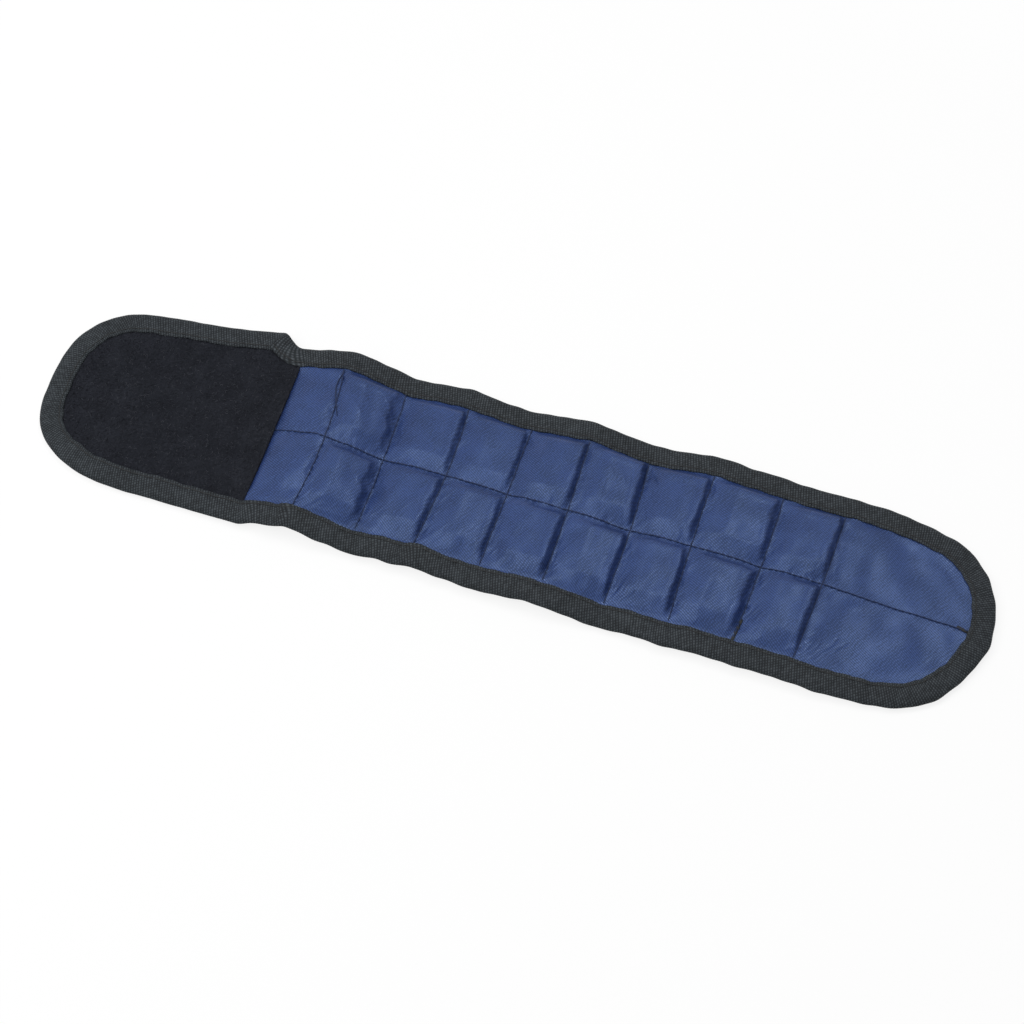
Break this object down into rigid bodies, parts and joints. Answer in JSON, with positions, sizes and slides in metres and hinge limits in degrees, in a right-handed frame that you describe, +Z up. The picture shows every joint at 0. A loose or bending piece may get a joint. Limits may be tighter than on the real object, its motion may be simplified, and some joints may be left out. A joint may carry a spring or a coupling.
{
  "type": "magnetic wristband",
  "caption": "Flat quilted wrist strap with sewn-in magnet pockets, taped edges, a loop-pile tab and a rounded hook tongue, hinged at its seams so that it wraps and closes.",
  "frame": {"origin": "middle of the strap's footprint, on the surface that it lies on", "axes": "+X along the strap from the loop tab to the tongue, +Y across the strap, +Z up through the blue face"},
  "size_m": [0.346, 0.079, 0.0103],
  "materials": {
    "blue_cloth": "satin twill polyester",
    "binding_tape": "ribbed woven tape",
    "lining_cloth": "plain black cloth",
    "loop_pile": "brushed loop pile",
    "hook_pile": "stiff hook tape",
    "magnet": "plated"
  },
  "bodies": {
    "tab": {"tab_lining": "lining_cloth", "loop_panel": "loop_pile", "tab_binding": "binding_tape"},
    "stub": {"stub_lining": "lining_cloth", "stub_front": "blue_cloth", "stub_binding_upper": "binding_tape", "stub_binding_lower": "binding_tape"},
    "column_1": {"column_1_lining": "lining_cloth", "column_1_front": "blue_cloth", "column_1_binding_upper": "binding_tape", "column_1_binding_lower": "binding_tape", "column_1_magnet_upper": "magnet", "column_1_magnet_lower": "magnet"},
    "column_2": {"column_2_lining": "lining_cloth", "column_2_front": "blue_cloth", "column_2_binding_upper": "binding_tape", "column_2_binding_lower": "binding_tape", "column_2_magnet_upper": "magnet", "column_2_magnet_lower": "magnet"},
    "column_3": {"column_3_lining": "lining_cloth", "column_3_front": "blue_cloth", "column_3_binding_upper": "binding_tape", "column_3_binding_lower": "binding_tape", "column_3_magnet_upper": "magnet", "column_3_magnet_lower": "magnet"},
    "column_4": {"column_4_lining": "lining_cloth", "column_4_front": "blue_cloth", "column_4_binding_upper": "binding_tape", "column_4_binding_lower": "binding_tape", "column_4_magnet_upper": "magnet", "column_4_magnet_lower": "magnet"},
    "column_5": {"column_5_lining": "lining_cloth", "column_5_front": "blue_cloth", "column_5_binding_upper": "binding_tape", "column_5_binding_lower": "binding_tape", "column_5_magnet_upper": "magnet", "column_5_magnet_lower": "magnet"},
    "column_6": {"column_6_lining": "lining_cloth", "column_6_front": "blue_cloth", "column_6_binding_upper": "binding_tape", "column_6_binding_lower": "binding_tape", "column_6_magnet_upper": "magnet", "column_6_magnet_lower": "magnet"},
    "column_7": {"column_7_lining": "lining_cloth", "column_7_front": "blue_cloth", "column_7_binding_upper": "binding_tape", "column_7_binding_lower": "binding_tape", "column_7_magnet_upper": "magnet", "column_7_magnet_lower": "magnet"},
    "column_8": {"column_8_lining": "lining_cloth", "column_8_front": "blue_cloth", "column_8_binding_upper": "binding_tape", "column_8_binding_lower": "binding_tape", "column_8_magnet_upper": "magnet", "column_8_magnet_lower": "magnet"},
    "tongue": {"tongue_lining": "lining_cloth", "tongue_front": "blue_cloth", "hook_patch": "hook_pile", "tongue_binding": "binding_tape"}
  },
  "joints": [
    {"name": "wrap", "type": "hinge", "parent": "column_4", "child": "column_5", "pos_m": [0.02, 0, 0.0004], "axis": [0, 1, 0], "range_deg": [-4.4, 19]},
    {"name": "seam_6_bend", "type": "hinge", "parent": "column_5", "child": "column_6", "pos_m": [0.043, 0, 0.0004], "axis": [0, 1, 0], "range_deg": [-5.5, 23.6]},
    {"name": "seam_7_bend", "type": "hinge", "parent": "column_6", "child": "column_7", "pos_m": [0.066, 0, 0.0004], "axis": [0, 1, 0], "range_deg": [-7.7, 33.1]},
    {"name": "seam_8_bend", "type": "hinge", "parent": "column_7", "child": "column_8", "pos_m": [0.089, 0, 0.0004], "axis": [0, 1, 0], "range_deg": [-10.9, 47.1]},
    {"name": "tongue_fold", "type": "hinge", "parent": "column_8", "child": "tongue", "pos_m": [0.112, 0, 0.0004], "axis": [0, 1, 0], "range_deg": [-13, 57.9]},
    {"name": "seam_4_bend", "type": "hinge", "parent": "column_4", "child": "column_3", "pos_m": [-0.003, 0, 0.0004], "axis": [0, -1, 0], "range_deg": [-4.5, 19.1]},
    {"name": "seam_3_bend", "type": "hinge", "parent": "column_3", "child": "column_2", "pos_m": [-0.026, 0, 0.0004], "axis": [0, -1, 0], "range_deg": [-5.5, 23.6]},
    {"name": "seam_2_bend", "type": "hinge", "parent": "column_2", "child": "column_1", "pos_m": [-0.049, 0, 0.0004], "axis": [0, -1, 0], "range_deg": [-7.7, 33.1]},
    {"name": "seam_1_bend", "type": "hinge", "parent": "column_1", "child": "stub", "pos_m": [-0.072, 0, 0.0004], "axis": [0, -1, 0], "range_deg": [-10.9, 47.1]},
    {"name": "tab_fold", "type": "hinge", "parent": "stub", "child": "tab", "pos_m": [-0.09, 0, 0.0004], "axis": [0, -1, 0], "range_deg": [-13.3, 57.2]}
  ],
  "couplings": [
    {"joint": "seam_6_bend", "follows": "wrap", "ratio": 1.2368},
    {"joint": "seam_7_bend", "follows": "wrap", "ratio": 1.7368},
    {"joint": "seam_8_bend", "follows": "wrap", "ratio": 2.4737},
    {"joint": "seam_4_bend", "follows": "wrap", "ratio": 1},
    {"joint": "seam_3_bend", "follows": "wrap", "ratio": 1.2368},
    {"joint": "seam_2_bend", "follows": "wrap", "ratio": 1.7368},
    {"joint": "seam_1_bend", "follows": "wrap", "ratio": 2.4737},
    {"joint": "tab_fold", "follows": "wrap", "ratio": 3.0053}
  ]
}
